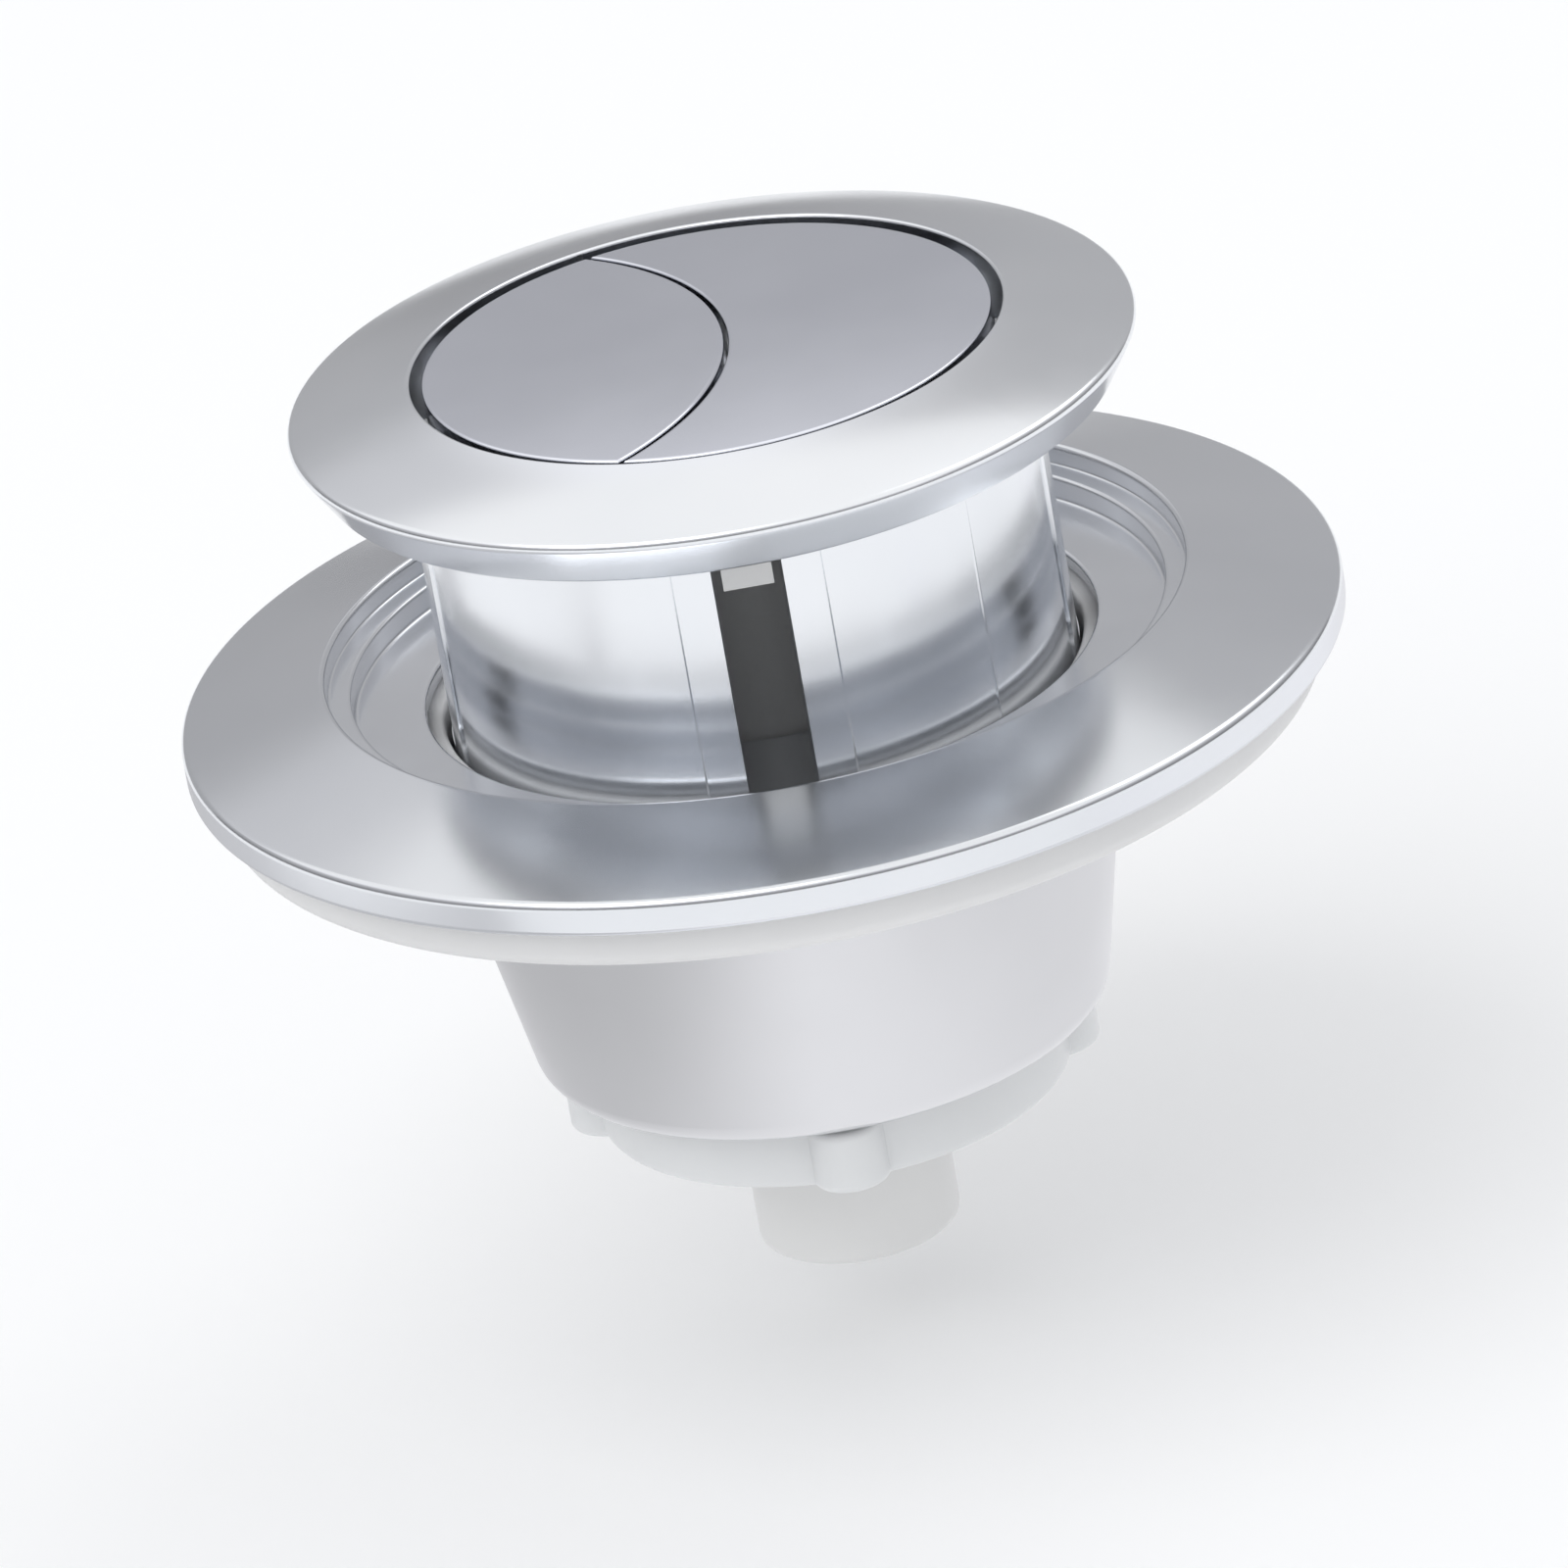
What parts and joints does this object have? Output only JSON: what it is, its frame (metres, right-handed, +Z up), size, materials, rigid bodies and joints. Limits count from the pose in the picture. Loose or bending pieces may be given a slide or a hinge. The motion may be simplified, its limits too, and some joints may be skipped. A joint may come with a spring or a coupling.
{
  "type": "push button cistern actuator",
  "caption": "Round dual flush push button for a cistern lid: chromed flange and barrel, split caps, threaded stem with push rods, cover ring, seat ring, cup and nut.",
  "frame": {"origin": "on the barrel's axis, in the plane of the flange's underside, which seats on the lid or ring", "axes": "+Z up along the axis, out of the lid; -X towards the half flush cap; -Y the front slot"},
  "size_m": [0.0702, 0.0702, 0.0589],
  "materials": {
    "chrome_plate": "bright chrome plating",
    "satin_chrome": "satin chrome plating, grainy inside",
    "white_moulding": "natural white moulded plastic",
    "grey_moulding": "pale grey moulded plastic",
    "clear_white_moulding": "translucent white moulded plastic",
    "seat_rubber": "soft white silicone rubber",
    "black_rubber": "black foam rubber",
    "spring_wire": "stainless spring wire"
  },
  "bodies": {
    "housing": {"housing": "chrome_plate"},
    "full_button": {"full_button": "chrome_plate", "full_carrier": "white_moulding", "full_plunger": "white_moulding", "full_spring": "spring_wire"},
    "half_button": {"half_button": "chrome_plate", "half_carrier": "white_moulding", "half_rod": "grey_moulding", "half_spring": "spring_wire"},
    "clamp_stack": {"adapter_ring": "chrome_plate", "seat_ring": "seat_rubber", "stem_block": "black_rubber", "clamp_cup": "satin_chrome"},
    "lug_nut": {"lug_nut": "clear_white_moulding"}
  },
  "joints": [
    {"name": "full_press", "type": "slide", "parent": "housing", "child": "full_button", "axis": [0, 0, -1], "range_m": [0, 0.006], "stiffness_N_per_m": 250, "springref_m": -0.008, "deforming": ["full_spring"]},
    {"name": "half_press", "type": "slide", "parent": "housing", "child": "half_button", "axis": [0, 0, -1], "range_m": [0, 0.006], "stiffness_N_per_m": 250, "springref_m": -0.008, "deforming": ["half_spring"]},
    {"name": "stack_lift", "type": "slide", "parent": "housing", "child": "clamp_stack", "axis": [0, 0, 1], "range_m": [0, 0.0045]},
    {"name": "nut_turn", "type": "hinge", "parent": "clamp_stack", "child": "lug_nut", "pos_m": [0, 0, -0.0411], "axis": [0, 0, 1], "range_deg": [0, 1080]}
  ],
  "couplings": [
    {"joint": "nut_turn", "follows": "stack_lift", "rad_per_m": 4188.8}
  ]
}
